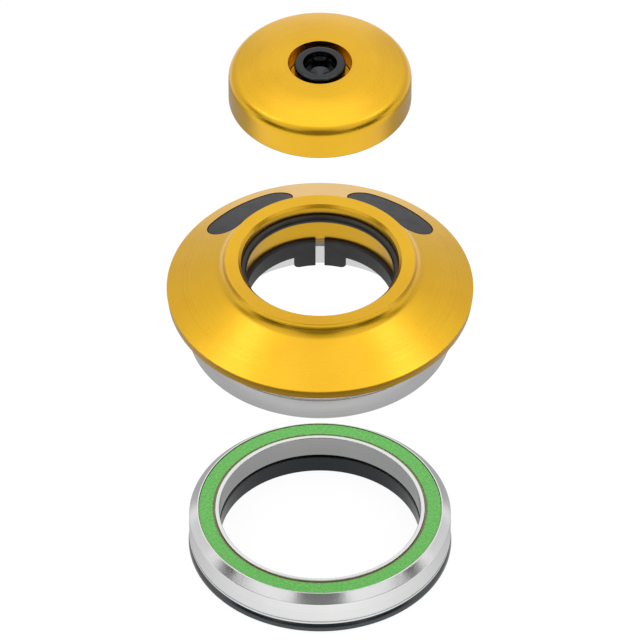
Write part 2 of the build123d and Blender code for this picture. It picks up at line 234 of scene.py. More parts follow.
@dataclass(frozen=True, kw_only=True)
class Finish:
    """What all finishes share: two close tones, and a roughness that swings a little."""

    name: str
    colour: str
    deep_colour: str
    roughness: float
    roughness_swing: float

    def tone(self, tree: bpy.types.NodeTree, pattern: Link) -> bpy.types.Node:
        """Blend the two tones by a pattern.

        Args:
            tree: The material's node tree.
            pattern: The pattern, whose high places take the lighter tone.

        Returns:
            The node that gives the colour.
        """
        spread = {"Value": pattern, **NOISE_MIDDLE, "To Min": 0.0, "To Max": 1.0}
        inputs = {
            "Factor": add_node(tree, "ShaderNodeMapRange", spread),
            "A": linear(self.deep_colour),
            "B": linear(self.colour),
        }
        return add_node(tree, "ShaderNodeMix", inputs, data_type="RGBA")

    def gloss(self, tree: bpy.types.NodeTree, pattern: Link) -> bpy.types.Node:
        """Swing the roughness by a pattern.

        Args:
            tree: The material's node tree.
            pattern: The pattern, whose high places are the rougher ones.

        Returns:
            The node that gives the roughness.
        """
        low, high = self.roughness - self.roughness_swing, self.roughness + self.roughness_swing
        inputs = {"Value": pattern, **NOISE_MIDDLE, "To Min": low, "To Max": high}
        return add_node(tree, "ShaderNodeMapRange", inputs)

    def dress(self, tree: bpy.types.NodeTree) -> dict[str, Any]:
        """Give the shader's inputs, which each kind of finish works out in its own way."""
        raise NotImplementedError

    def build(self) -> bpy.types.Material:
        """Build the material round one Principled shader."""
        material = new_material(self.name)
        tree = material.node_tree
        shader = add_node(tree, "ShaderNodeBsdfPrincipled", self.dress(tree))
        add_node(tree, "ShaderNodeOutputMaterial", {"Surface": shader})
        return material


@dataclass(frozen=True, kw_only=True)
class TurnedMetal(Finish):
    """A metal whose surface was cut on a lathe, so fine lines run round the axis.

    The lines stretch each highlight across them, and a light grain from blasting
    or grinding softens it. The line pitch is drawn a few times coarser than the
    real feed, so that it shows.
    """

    line_pitch_mm: float
    line_depth_mm: float
    grain_mm: float
    grain_depth_mm: float
    anisotropy: float
    coat: float = 0.0
    coat_roughness: float = 0.1
    tone_patch_mm: float = 9.0

    def dress(self, tree: bpy.types.NodeTree) -> dict[str, Any]:
        """Give the shader turning lines, grain and slow changes of tone."""
        at = LatheCoordinates(tree)
        lines, lined = relief(tree, at.section, self.line_pitch_mm, self.line_depth_mm, detail=3.0)
        _, grained = relief(tree, at.place, self.grain_mm, self.grain_depth_mm, detail=2.0, under=lined)
        patches = add_node(
            tree, "ShaderNodeTexNoise", noise_at(at.place, self.tone_patch_mm, detail=1.0)
        )
        both = add_node(tree, "ShaderNodeMath", {0: lines, 1: patches}, operation="ADD")
        half = add_node(tree, "ShaderNodeMath", {0: both, 1: 0.5}, operation="MULTIPLY")
        return {
            "Base Color": self.tone(tree, half),
            "Metallic": 1.0,
            "Roughness": self.gloss(tree, lines),
            "Anisotropic": self.anisotropy,
            "Tangent": at.tangent,
            "Coat Weight": self.coat,
            "Coat Roughness": self.coat_roughness,
            "Normal": grained,
        }


@dataclass(frozen=True, kw_only=True)
class Moulded(Finish):
    """A plastic or rubber that came out of a mould, with the mould's fine texture.

    It has no metal in it, so highlights stay white and low. Its tone changes
    slowly over the surface, and small pits break up its gloss.
    """

    texture_mm: float
    texture_depth_mm: float
    roughness_swing: float = 0.06
    patch_mm: float = 4.0
    specular: float = 0.5

    def dress(self, tree: bpy.types.NodeTree) -> dict[str, Any]:
        """Give the shader the mould's texture and changes of tone."""
        place = LatheCoordinates(tree).place
        texture, textured = relief(tree, place, self.texture_mm, self.texture_depth_mm, detail=3.0)
        patches = add_node(tree, "ShaderNodeTexNoise", noise_at(place, self.patch_mm, detail=2.0))
        return {
            "Base Color": self.tone(tree, patches),
            "Roughness": self.gloss(tree, texture),
            "Specular IOR Level": self.specular,
            "Normal": textured,
        }


@dataclass(frozen=True, kw_only=True)
class SealRubber(Finish):
    """Nitrile rubber moulded on a steel washer, with its edges darkened by grease and painted shade.

    The flat of the seal is evenly coloured with a fine pebble. The lip next to
    the inner ring and the line next to the outer ring carry a brown band, part grease
    and part painted shade of the lip's recessed step and of the gaps by the rings,
    whose edge wanders by the smear and fades over a short way past the lip and the rim.
    """

    grease_and_shade: str
    lip_outer_mm: float
    rim_inner_mm: float
    roughness: float = 0.42
    roughness_swing: float = 0.08
    pebble_mm: float = 0.45
    pebble_depth_mm: float = 0.03
    smear_mm: float = 0.5
    smear_reach_mm: float = 0.9
    lip_fade_mm: tuple[float, float] = (0.42, 0.58)
    rim_fade_mm: tuple[float, float] = (0.44, 0.56)

    def grease_and_shade_film(self, tree: bpy.types.NodeTree, at: LatheCoordinates) -> bpy.types.Node:
        """Give the amount of grease and painted shade, from the lip's band and the rim's.

        Args:
            tree: The material's node tree.
            at: The material's coordinates.

        Returns:
            The node whose value is one where the grease and painted shade lie.
        """
        smear = add_node(tree, "ShaderNodeTexNoise", noise_at(at.place, self.smear_mm, detail=3.0))
        wander = add_node(
            tree,
            "ShaderNodeMath",
            {0: smear, 1: self.smear_reach_mm * MM, 2: at.radius},
            operation="MULTIPLY_ADD",
        )
        grease_and_shade_bands = [
            add_node(
                tree,
                "ShaderNodeMapRange",
                {
                    "Value": wander,
                    "From Min": (radius + fade[0]) * MM,
                    "From Max": (radius + fade[1]) * MM,
                    "To Min": inside,
                    "To Max": 1.0 - inside,
                },
            )
            for radius, fade, inside in (
                (self.lip_outer_mm, self.lip_fade_mm, 1.0),
                (self.rim_inner_mm, self.rim_fade_mm, 0.0),
            )
        ]
        return add_node(tree, "ShaderNodeMath", {0: grease_and_shade_bands[0], 1: grease_and_shade_bands[1]}, operation="MAXIMUM")

    def dress(self, tree: bpy.types.NodeTree) -> dict[str, Any]:
        """Give the shader the pebble and the band of grease and painted shade."""
        at = LatheCoordinates(tree)
        pebble, pebbled = relief(tree, at.place, self.pebble_mm, self.pebble_depth_mm, detail=2.0)
        # Brown band: grease, and painted shade of the lip's step and of the gaps by the rings
        colours = {
            "Factor": self.grease_and_shade_film(tree, at),
            "A": self.tone(tree, pebble),
            "B": linear(self.grease_and_shade),
        }
        return {
            "Base Color": add_node(tree, "ShaderNodeMix", colours, data_type="RGBA"),
            "Roughness": self.gloss(tree, pebble),
            "Normal": pebbled,
        }


@dataclass(frozen=True)
class Corner:
    """One corner of a turned section, in millimetres, with the radius it is broken to."""

    radius: float
    height: float
    rounding: float = 0.0


def arc_points(
    centre: Point, radius: float, start_deg: float, end_deg: float, steps: int
) -> list[Point]:
    """Give steps + 1 points along an arc, its ends among them."""
    points = []
    for step in range(steps + 1):
        angle = math.radians(start_deg + (end_deg - start_deg) * step / steps)
        points.append((centre[0] + radius * math.cos(angle), centre[1] + radius * math.sin(angle)))
    return points


def round_corner(before: Corner, corner: Corner, after: Corner, steps: int) -> list[Point]:
    """Round one corner of a section between its two neighbours.

    Args:
        before: The corner that comes before it.
        corner: The corner to round, with its radius.
        after: The corner that comes after it.
        steps: Into how many parts the arc is divided.

    Returns:
        The arc's points, with one more on each straight side, which keeps the
        flats next to the arc evenly shaded.
    """
    arc_share, flat_share, straight = 0.45, 0.2, math.radians(1)
    here = Vector((corner.radius, corner.height))
    to_before = Vector((before.radius, before.height)) - here
    to_after = Vector((after.radius, after.height)) - here
    half = to_before.angle(to_after) / 2
    if corner.rounding <= 0 or abs(half - math.pi / 2) < straight:
        return [(here.x, here.y)]
    reach = corner.rounding / math.tan(half)
    reach = min(reach, arc_share * to_before.length, arc_share * to_after.length)
    radius = reach * math.tan(half)
    back, onward = to_before.normalized(), to_after.normalized()
    start, end = here + back * reach, here + onward * reach
    centre = here + (back + onward).normalized() * (radius / math.sin(half))
    first, last = start - centre, end - centre
    points = [start + back * min(reach / 2, flat_share * to_before.length)]
    points += [centre + first.slerp(last, step / steps) * radius for step in range(steps + 1)]
    points.append(end + onward * min(reach / 2, flat_share * to_after.length))
    return [(point.x, point.y) for point in points]


def section(corners: Iterable[Corner | Point], steps: int = 4) -> list[Point]:
    """Turn corners, some of them rounded, into the points of a closed section.

    Args:
        corners: Corners, or plain points where a curve was already worked out.
        steps: Into how many parts each rounding is divided.

    Returns:
        The (radius, height) points in order, in millimetres.
    """
    ring = [c if isinstance(c, Corner) else Corner(c[0], c[1]) for c in corners]
    points: list[Point] = []
    for index, corner in enumerate(ring):
        points += round_corner(ring[index - 1], corner, ring[(index + 1) % len(ring)], steps)
    return points


def input_socket(tree: bpy.types.NodeTree, name: str) -> str:
    """Give the identifier of a tree's named input, which a modifier sets it by."""
    return next(
        item.identifier
        for item in tree.interface.items_tree
        if item.item_type == "SOCKET" and item.in_out == "INPUT" and item.name == name
    )


def start_tree(name: str, sizes: dict[str, str]) -> tuple[bpy.types.NodeTree, Any]:
    """Start a Geometry Nodes tree that takes a section, sizes and a material.

    Args:
        name: The tree's name.
        sizes: The names of its sizes, each with its kind of socket.

    Returns:
        The tree, and the sockets that give its inputs by name.
    """
    tree = bpy.data.node_groups.new(name, "GeometryNodeTree")
    for label, kind in {"Section": "Geometry", **sizes, "Material": "Material"}.items():
        tree.interface.new_socket(label, in_out="INPUT", socket_type=f"NodeSocket{kind}")
    tree.interface.new_socket("Geometry", in_out="OUTPUT", socket_type="NodeSocketGeometry")
    return tree, add_node(tree, "NodeGroupInput").outputs


def end_tree(tree: bpy.types.NodeTree, geometry: Link, material: Link) -> None:
    """Realize the geometry, set its material and link it to the output."""
    real = add_node(tree, "GeometryNodeRealizeInstances", {"Geometry": geometry})
    dressed = add_node(tree, "GeometryNodeSetMaterial", {"Geometry": real, "Material": material})
    add_node(tree, "NodeGroupOutput", {"Geometry": dressed})


def lifted(tree: bpy.types.NodeTree, geometry: Link, height: Link) -> bpy.types.Node:
    """Move a tree's geometry up by a height."""
    lift = add_node(tree, "ShaderNodeCombineXYZ", {2: height})
    return add_node(tree, "GeometryNodeTransform", {"Geometry": geometry, "Translation": lift})


def turning_tree() -> bpy.types.NodeTree:
    """Build the tree that sweeps a closed section round the axis.

    The path is a circle, and the section's points lie that circle's radius
    further in, so each point turns at its own radius.
    """
    tree, given = start_tree("turned_from_section", {"Path Radius": "Float", "Segments": "Int"})
    profile = add_node(tree, "GeometryNodeMeshToCurve", {"Mesh": given["Section"]})
    path = add_node(
        tree,
        "GeometryNodeCurvePrimitiveCircle",
        {"Radius": given["Path Radius"], "Resolution": given["Segments"]},
    )
    swept = add_node(tree, "GeometryNodeCurveToMesh", {"Curve": path, "Profile Curve": profile})
    merged = add_node(
        tree, "GeometryNodeMergeByDistance", {"Geometry": swept, "Distance": MERGE_MM * MM}
    )
    end_tree(tree, merged, given["Material"])
    return tree


def ball_ring_tree() -> bpy.types.NodeTree:
    """Build the tree that sets balls evenly round a bearing's pitch circle."""
    sizes = {"Pitch Radius": "Float", "Ball Radius": "Float", "Ball Count": "Int", "Height": "Float"}
    tree, given = start_tree("ball_ring", sizes)
    circle = add_node(
        tree,
        "GeometryNodeMeshCircle",
        {"Vertices": given["Ball Count"], "Radius": given["Pitch Radius"]},
        fill_type="NONE",
    )
    ball = add_node(
        tree,
        "GeometryNodeMeshUVSphere",
        {"Segments": BALL_SEGMENTS, "Rings": BALL_RINGS, "Radius": given["Ball Radius"]},
    )
    smooth = add_node(tree, "GeometryNodeSetShadeSmooth", {"Geometry": ball})
    placed = add_node(tree, "GeometryNodeInstanceOnPoints", {"Points": circle, "Instance": smooth})
    end_tree(tree, lifted(tree, placed, given["Height"]), given["Material"])
    return tree


def thread_tree() -> bpy.types.NodeTree:
    """Build the tree that winds a screw thread's ridge upwards from the tip."""
    names = ("Ridge Radius", "Ridge Size", "Turns", "Length", "Foot")
    tree, given = start_tree("screw_thread", {name: "Float" for name in names})
    helix = add_node(
        tree,
        "GeometryNodeCurveSpiral",
        {
            "Resolution": THREAD_SEGMENTS,
            "Rotations": given["Turns"],
            "Start Radius": given["Ridge Radius"],
            "End Radius": given["Ridge Radius"],
            "Height": given["Length"],
        },
    )
    ridge = add_node(
        tree,
        "GeometryNodeCurvePrimitiveCircle",
        {"Resolution": RIDGE_SIDES, "Radius": given["Ridge Size"]},
    )
    wound = add_node(
        tree,
        "GeometryNodeCurveToMesh",
        {"Curve": helix, "Profile Curve": ridge, "Fill Caps": True},
    )
    end_tree(tree, lifted(tree, wound, given["Foot"]), given["Material"])
    return tree


def link_object(name: str, mesh: bpy.types.Mesh) -> bpy.types.Object:
    """Put a mesh into the scene as an object at the origin."""
    obj = bpy.data.objects.new(name, mesh)
    bpy.context.scene.collection.objects.link(obj)
    return obj


def settle(obj: bpy.types.Object) -> None:
    """Replace an object's mesh by what its modifiers make of it, and remove them."""
    graph = bpy.context.evaluated_depsgraph_get()
    result = bpy.data.meshes.new_from_object(obj.evaluated_get(graph))
    obj.modifiers.clear()
    obj.data = result


def finish_mesh(obj: bpy.types.Object, turn_out: bool = True) -> None:
    """Turn an object's faces outwards and shade it smooth up to its sharp edges."""
    mesh = obj.data
    if turn_out:
        shell = bmesh.new()
        shell.from_mesh(mesh)
        bmesh.ops.recalc_face_normals(shell, faces=shell.faces)
        shell.to_mesh(mesh)
        shell.free()
    mesh.shade_smooth()
    mesh.set_sharp_from_angle(angle=SHARP_EDGE)


def cut_away(piece: bpy.types.Object, outline: list[Point], low: float, high: float) -> None:
    """Cut an upright block out of a piece.

    Args:
        piece: The piece to cut.
        outline: The block's (x, y) points in millimetres.
        low: The height of its foot.
        high: The height of its top.
    """
    count = len(outline)
    verts = [(x * MM, y * MM, z * MM) for z in (low, high) for x, y in outline]
    faces = [(i, (i + 1) % count, count + (i + 1) % count, count + i) for i in range(count)]
    faces += [tuple(range(count)), tuple(range(count, 2 * count))]
    mesh = bpy.data.meshes.new("cutter")
    mesh.from_pydata(verts, [], faces)
    cutter = link_object("cutter", mesh)
    finish_mesh(cutter)
    cut = piece.modifiers.new("cut", "BOOLEAN")
    cut.object = cutter
    cut.solver = "EXACT"
    settle(piece)
    bpy.data.objects.remove(cutter)


def run_tree(
    name: str, start: bpy.types.Mesh, tree: bpy.types.NodeTree, values: dict[str, Any]
) -> bpy.types.Object:
    """Run a Geometry Nodes tree on a mesh and keep the result as a plain mesh.

    Args:
        name: The piece's name.
        start: The mesh that the tree starts from.
        tree: The tree.
        values: The tree's named inputs.

    Returns:
        The object, with no modifier left on it.
    """
    obj = link_object(name, start)
    modifier = obj.modifiers.new(tree.name, "NODES")
    modifier.node_group = tree
    for label, value in values.items():
        modifier[input_socket(tree, label)] = value
    settle(obj)
    return obj


@dataclass
class Workshop:
    """The Geometry Nodes trees and the finishes that all sub-assemblies share."""

    turning: bpy.types.NodeTree
    ball_ring: bpy.types.NodeTree
    thread: bpy.types.NodeTree
    finishes: dict[str, bpy.types.Material]

    def turn(self, name: str, points: list[Point], finish: str) -> bpy.types.Object:
        """Turn a closed section about the axis.

        Args:
            name: The piece's name.
            points: The section's (radius, height) points in millimetres.
            finish: The name of its finish.

        Returns:
            The turned piece.
        """
        mesh = bpy.data.meshes.new(name)
        corners = [((r - SWEEP_PATH_MM) * MM, -z * MM, 0.0) for r, z in points]
        edges = [(i, (i + 1) % len(corners)) for i in range(len(corners))]
        mesh.from_pydata(corners, edges, [])
        piece = run_tree(
            name,
            mesh,
            self.turning,
            {
                "Path Radius": SWEEP_PATH_MM * MM,
                "Segments": RING_SEGMENTS,
                "Material": self.finishes[finish],
            },
        )
        finish_mesh(piece)
        return piece

    def dress(self, node: str, finish: str) -> None:
        """Give a CAD node that keeps its own mesh a finish."""
        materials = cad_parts[node].data.materials
        materials.clear()
        materials.append(self.finishes[finish])
        log.info("%s: kept, in %s", node, finish)


def mount(piece: bpy.types.Object, body: Body, slot: str, *nodes: str) -> None:
    """Make a piece ride on its body and stand for its CAD nodes.

    Args:
        piece: The finished piece.
        body: The body that carries it.
        slot: The name of a material slot; not used.
        nodes: The CAD nodes that it replaces.
    """
    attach(piece, body.value)
    if nodes:
        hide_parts(*nodes)
    log.info("%s: %d faces on %s", piece.name, len(piece.data.polygons), body.value)


def heights(node: str) -> tuple[float, float]:
    """Give a CAD node's lowest and highest point in millimetres."""
    low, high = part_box(node)
    return low.z / MM, high.z / MM


def outer_radius(node: str) -> float:
    """Give a CAD node's outer radius in millimetres."""
    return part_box(node)[1].x / MM


@dataclass
class TopCap:
    """The gold cap on top of the stem, and the bolt that pulls it down."""

    shop: Workshop
    corner: float = 2.4
    corner_steps: int = 14
    crown: float = 1.5
    crown_steps: int = 18
    recess_radius: float = 6.15
    recess_depth: float = 4.1
    recess_break: float = 0.12
    deck: float = 2.8
    socket_radius: float = 14.6
    boss_radius: float = 10.5
    boss_drop: float = 5.6
    hole_radius: float = 3.25
    seat_break: float = 0.1
    floor_break: float = 0.2
    edge_break: float = 0.3
    head_radius: float = 4.95
    head_corner: float = 0.6
    head_height: float = 4.0
    head_foot_break: float = 0.15
    mouth_radius: float = 3.3
    mouth_break: float = 0.12
    mouth_foot_radius: float = 2.95
    mouth_foot_break: float = 0.1
    mouth_depth: float = 1.1
    mouth_ledge_depth: float = 1.8
    hexagon_across: float = 5.0
    hexagon_depth: float = 2.6
    drill_radius: float = 2.0
    drill_break: float = 0.15
    drill_depth: float = 2.75
    drill_point_depth: float = 3.6
    thread_radius: float = 3.0
    thread_pitch: float = 1.0
    thread_ridge: float = 0.42
    core_radius: float = 2.55
    neck_length: float = 2.4
    neck_break: float = 0.1
    tip_chamfer: float = 0.6
    tip_break: float = 0.05
    bolt_round_steps: int = 6

    def dome(self, top: float, radius: float) -> list[Point]:
        """Give the deck's shallow dome and the rounded corner that it runs into.

        Args:
            top: The height of the dome's middle.
            radius: The cap's outer radius.

        Returns:
            Points from the recess out to just below the corner, where the last one
            keeps the wall evenly shaded.
        """
        run = radius - self.corner - self.recess_radius
        dome_radius = run / math.sin(2 * math.atan2(self.crown, run))
        tilt = math.asin(run / (dome_radius - self.corner))
        corner_foot = top - dome_radius + (dome_radius - self.corner) * math.cos(tilt)
        middle = (self.recess_radius, top - dome_radius)
        turned = 90.0 - math.degrees(tilt)
        deck = arc_points(middle, dome_radius, 90.0, turned, self.crown_steps)
        corner_middle = (radius - self.corner, corner_foot)
        edge = arc_points(corner_middle, self.corner, turned, 0, self.corner_steps)
        return deck[1:] + edge[1:] + [(radius, corner_foot - self.corner / 6)]

    def build_cap(self) -> None:
        """Turn the cap with its bolt recess and its socket for the steerer's end."""
        foot, top = heights("top_cap")
        radius = outer_radius("top_cap")
        inner = top - self.crown - self.deck
        boss_foot = top - self.boss_drop
        seat = top - self.recess_depth
        points = section(
            [Corner(self.recess_radius, top, self.recess_break)]
            + self.dome(top, radius)
            + [
                Corner(radius, foot, self.edge_break),
                Corner(self.socket_radius, foot, self.edge_break),
                Corner(self.socket_radius, inner, self.edge_break),
                Corner(self.boss_radius, inner, self.edge_break),
                Corner(self.boss_radius, boss_foot, self.edge_break),
                Corner(self.hole_radius, boss_foot, self.floor_break),
                Corner(self.hole_radius, seat, self.seat_break),
                Corner(self.recess_radius, seat, self.floor_break),
            ]
        )
        cap = self.shop.turn("top_cap_turned", points, "gold_anodised")
        mount(cap, Body.UPPER_STEERING, "gold_anodised", "top_cap")

    def build_bolt(self) -> None:
        """Turn the bolt with the mouth and the drilled hole of its hexagon, and cut that."""
        tip, top = heights("cap_bolt")
        head_foot = top - self.head_height
        ledge = top - self.mouth_ledge_depth
        points = section(
            [
                Corner(AXIS_GAP_MM, top - self.drill_point_depth),
                Corner(self.drill_radius, top - self.drill_depth, self.drill_break),
                Corner(self.drill_radius, ledge),
                Corner(self.hexagon_across / 2, ledge),
                Corner(self.mouth_foot_radius, top - self.mouth_depth, self.mouth_foot_break),
                Corner(self.mouth_radius, top, self.mouth_break),
                Corner(self.head_radius, top, self.head_corner),
                Corner(self.head_radius, head_foot, self.head_foot_break),
                Corner(self.core_radius, head_foot, self.neck_break),
                Corner(self.core_radius, tip + self.tip_chamfer, self.tip_break),
                Corner(self.core_radius - self.tip_chamfer, tip, self.tip_break),
                Corner(AXIS_GAP_MM, tip),
            ],
            self.bolt_round_steps,
        )
        bolt = self.shop.turn("cap_bolt_turned", points, "black_oxide")
        corner_radius = self.hexagon_across / 2 / math.cos(math.pi / 6)
        hexagon = arc_points((0, 0), corner_radius, 0, 360, 6)[:-1]
        cut_away(bolt, hexagon, top - self.hexagon_depth, top + 1)
        finish_mesh(bolt, turn_out=False)
        mount(bolt, Body.SCREW, "black_steel", "cap_bolt")
        self.build_thread(tip, head_foot)

    def build_thread(self, tip: float, head_foot: float) -> None:
        """Wind the thread's ridge between the bolt's tip and its plain neck."""
        length = head_foot - self.neck_length - tip - self.tip_chamfer - 2 * self.thread_ridge
        thread = run_tree(
            "cap_bolt_thread",
            bpy.data.meshes.new("cap_bolt_thread"),
            self.shop.thread,
            {
                "Ridge Radius": (self.thread_radius - self.thread_ridge) * MM,
                "Ridge Size": self.thread_ridge * MM,
                "Turns": length / self.thread_pitch,
                "Length": length * MM,
                "Foot": (tip + self.tip_chamfer + self.thread_ridge) * MM,
                "Material": self.shop.finishes["black_oxide"],
            },
        )
        finish_mesh(thread)
        mount(thread, Body.SCREW, "black_steel")

    def build(self) -> None:
        """Build the cap and its bolt."""
        self.build_cap()
        self.build_bolt()


@dataclass
class Cover:
    """The gold cover over the upper bearing, its seal ring, port plugs and wedge ring."""

    shop: Workshop
    rim_drop: float = 7.2
    rim_undercut: float = 0.25
    rim_wall: float = 2.0
    slope_deg: float = 27.0
    wall: float = 2.2
    bore_radius: float = 15.2
    mouth_radius: float = 15.45
    mouth_chamfer: float = 0.55
    mouth_break: float = 0.08
    top_radius: float = 18.65
    neck_flare: float = 0.05
    neck_drop: float = 0.3
    flare_radius: float = 20.4
    flare_steps: int = 14
    cone_margin: float = 0.35
    cone_steps: int = 22
    edge: float = 0.12
    collar_depth: float = 8.45
    collar_radius: float = 17.7
    collar_fillet: float = 0.5
    rim_fillet: float = 0.3
    foot_break: float = 0.15
    groove_half: float = 0.97
    groove_radius: float = 16.18
    groove_break: float = 0.05
    port_mid_radius: float = 23.5
    port_width: float = 7.2
    port_start_deg: float = 13.5
    port_end_deg: float = 61.0
    port_side_steps: int = 40
    port_end_steps: int = 20
    plug_gap: float = 0.08
    plug_sink: float = 0.06
    plug_grip: float = 0.05
    plug_lip: float = 0.7
    plug_lip_thickness: float = 0.9
    plug_lip_break: float = 0.2
    plug_core: float = 0.1
    plug_round: float = 0.35
    plug_round_steps: int = 6
    plug_top_insets: tuple[float, ...] = (0.2, 0.8, 1.8)
    seal_ring_steps: int = 32

    def __post_init__(self) -> None:
        """Take the cover's heights and radius from the frame."""
        self.rim_foot, self.top = heights("headset_cover")
        self.radius = outer_radius("headset_cover")
        self.slope = math.tan(math.radians(self.slope_deg))

    def cone(self, radius: float) -> float:
        """Give the height of the outer cone at this radius."""
        return self.top - self.rim_drop + (self.radius - radius) * self.slope

    def flare(self) -> list[Point]:
        """Give the hollow curve that lifts the cone into the neck.

        Returns:
            Points from the cone up to the neck, along an arc that leaves the cone
            without a break.
        """
        start = Vector((self.flare_radius, self.cone(self.flare_radius)))
        end = Vector((self.top_radius + self.neck_flare, self.top - self.neck_drop))
        normal = Vector((self.slope, 1.0)).normalized()
        chord = end - start
        radius = chord.length_squared / (2 * chord.dot(normal))
        centre = start + normal * radius
        first, last = start - centre, end - centre
        angle = math.degrees(math.atan2(first.y, first.x))
        turn = math.degrees(first.angle_signed(last))
        return arc_points((centre.x, centre.y), radius, angle, angle - turn, self.flare_steps)

    def cone_points(self) -> list[Point]:
        """Give points down the cone, close enough for the ports to be cut cleanly."""
        start = self.radius - self.cone_margin
        span = self.flare_radius - start
        radii = [start + span * step / self.cone_steps for step in range(self.cone_steps)]
        return [(radius, self.cone(radius)) for radius in radii]

    def build_shell(self) -> None:
        """Turn the cover and cut its two cable ports."""
        groove_mid = sum(heights("steerer_o_ring")) / 2
        groove_top, groove_foot = groove_mid + self.groove_half, groove_mid - self.groove_half
        collar_foot = self.top - self.collar_depth
        inner_rim = self.radius - self.rim_wall
        points = section(
            [
                Corner(self.top_radius, self.top, self.edge),
                Corner(self.mouth_radius + self.mouth_chamfer, self.top, self.mouth_break),
                Corner(self.mouth_radius, self.top - self.mouth_chamfer, self.mouth_break),
                Corner(self.mouth_radius, groove_top, self.groove_break),
                (self.groove_radius, groove_top),
                (self.groove_radius, groove_foot),
                Corner(self.bore_radius, groove_foot, self.groove_break),
                Corner(self.bore_radius, collar_foot, self.foot_break),
                Corner(self.collar_radius, collar_foot, self.foot_break),
                Corner(
                    self.collar_radius, self.cone(self.collar_radius) - self.wall, self.collar_fillet
                ),
                Corner(inner_rim, self.cone(inner_rim) - self.wall, self.rim_fillet),
                Corner(inner_rim, self.rim_foot, self.foot_break),
                Corner(self.radius - self.rim_undercut, self.rim_foot, self.foot_break),
                Corner(self.radius, self.cone(self.radius), self.edge),
            ]
            + self.cone_points()
            + self.flare()
        )
        shell = self.shop.turn("headset_cover_turned", points, "gold_anodised")
        for side in (1, -1):
            port = self.port_outline(self.port_width, side)
            cut_away(shell, port, self.rim_foot - 2, self.top + 2)
        finish_mesh(shell, turn_out=False)
        mount(shell, Body.UPPER_STEERING, "gold_anodised", "headset_cover")

    def port_outline(self, width: float, side: int) -> list[Point]:
        """Give the outline of a round-ended slot bent round the axis.

        Args:
            width: The slot's width in millimetres.
            side: 1 for the right port and -1 for the left one.

        Returns:
            The outline's (x, y) points in millimetres.
        """
        middle, half = self.port_mid_radius, width / 2
        trim = math.degrees(self.port_width / 2 / middle)
        first = 90 - self.port_end_deg + trim
        last = 90 - self.port_start_deg - trim
        outer = arc_points((0, 0), middle + half, first, last, self.port_side_steps)
        inner = arc_points((0, 0), middle - half, last, first, self.port_side_steps)
        ends = []
        for angle, start in ((last, last), (first, first + 180)):
            centre = arc_points((0, 0), middle, angle, angle, 1)[0]
            ends.append(arc_points(centre, half, start, start + 180, self.port_end_steps)[1:-1])
        outline = outer + ends[0] + inner + ends[1]
        return [(side * x, y) for x, y in outline]

    def plug_layers(self) -> list[Point]:
        """Give a plug's outlines from its lip to its top, as width and depth below the cone."""
        body = self.port_width - 2 * self.plug_gap
        lip = self.port_width + 2 * self.plug_lip
        under = self.wall + self.plug_grip
        lip_foot = under + self.plug_lip_thickness
        crown = [
            (body - 2 * (self.plug_round + across), self.plug_sink + self.plug_round + down)
            for across, down in arc_points((0, 0), self.plug_round, 180, 270, self.plug_round_steps)
        ]
        return [
            (self.plug_core, lip_foot),
            (lip - 2 * self.plug_lip_break, lip_foot),
            (lip, lip_foot - self.plug_lip_break),
            (lip, under),
            (body, under),
            *crown,
            *((body - 2 * (self.plug_round + inset), self.plug_sink) for inset in self.plug_top_insets),
            (self.plug_core, self.plug_sink),
        ]

    def build_plug(self, side: int, node: str) -> None:
        """Stack outlines into one rubber plug with a gripping lip and a soft top edge.

        Args:
            side: 1 for the right plug and -1 for the left one.
            node: The CAD node that it replaces.
        """
        shape = bmesh.new()
        rings = []
        for width, drop in self.plug_layers():
            outline = self.port_outline(width, side)
            places = [(x, y, self.cone(math.hypot(x, y)) - drop) for x, y in outline]
            rings.append([shape.verts.new(Vector(place) * MM) for place in places])
        for low, high in zip(rings, rings[1:]):
            for i in range(len(low)):
                shape.faces.new((low[i - 1], low[i], high[i], high[i - 1]))
        shape.faces.new(rings[0])
        shape.faces.new(rings[-1])
        mesh = bpy.data.meshes.new(f"{node}_moulded")
        shape.to_mesh(mesh)
        shape.free()
        mesh.materials.append(self.shop.finishes["plug_rubber"])
        plug = link_object(f"{node}_moulded", mesh)
        finish_mesh(plug)
        mount(plug, Body.UPPER_STEERING, "grey_rubber", node)

    def build_seal_ring(self) -> None:
        """Turn the round rubber ring that seals the cover on the steerer."""
        low, high = heights("steerer_o_ring")
        half = (high - low) / 2
        centre = (outer_radius("steerer_o_ring") - half, low + half)
        points = arc_points(centre, half, 0, 360, self.seal_ring_steps)[:-1]
        ring = self.shop.turn("steerer_o_ring_moulded", points, "seal_ring_rubber")
        mount(ring, Body.UPPER_STEERING, "black_rubber", "steerer_o_ring")

    def build(self) -> None:
        """Build the cover and all that it carries."""
        self.build_shell()
        self.build_seal_ring()
        self.build_plug(1, "port_plug_right")
        self.build_plug(-1, "port_plug_left")
        self.shop.dress("compression_ring", "filled_nylon")


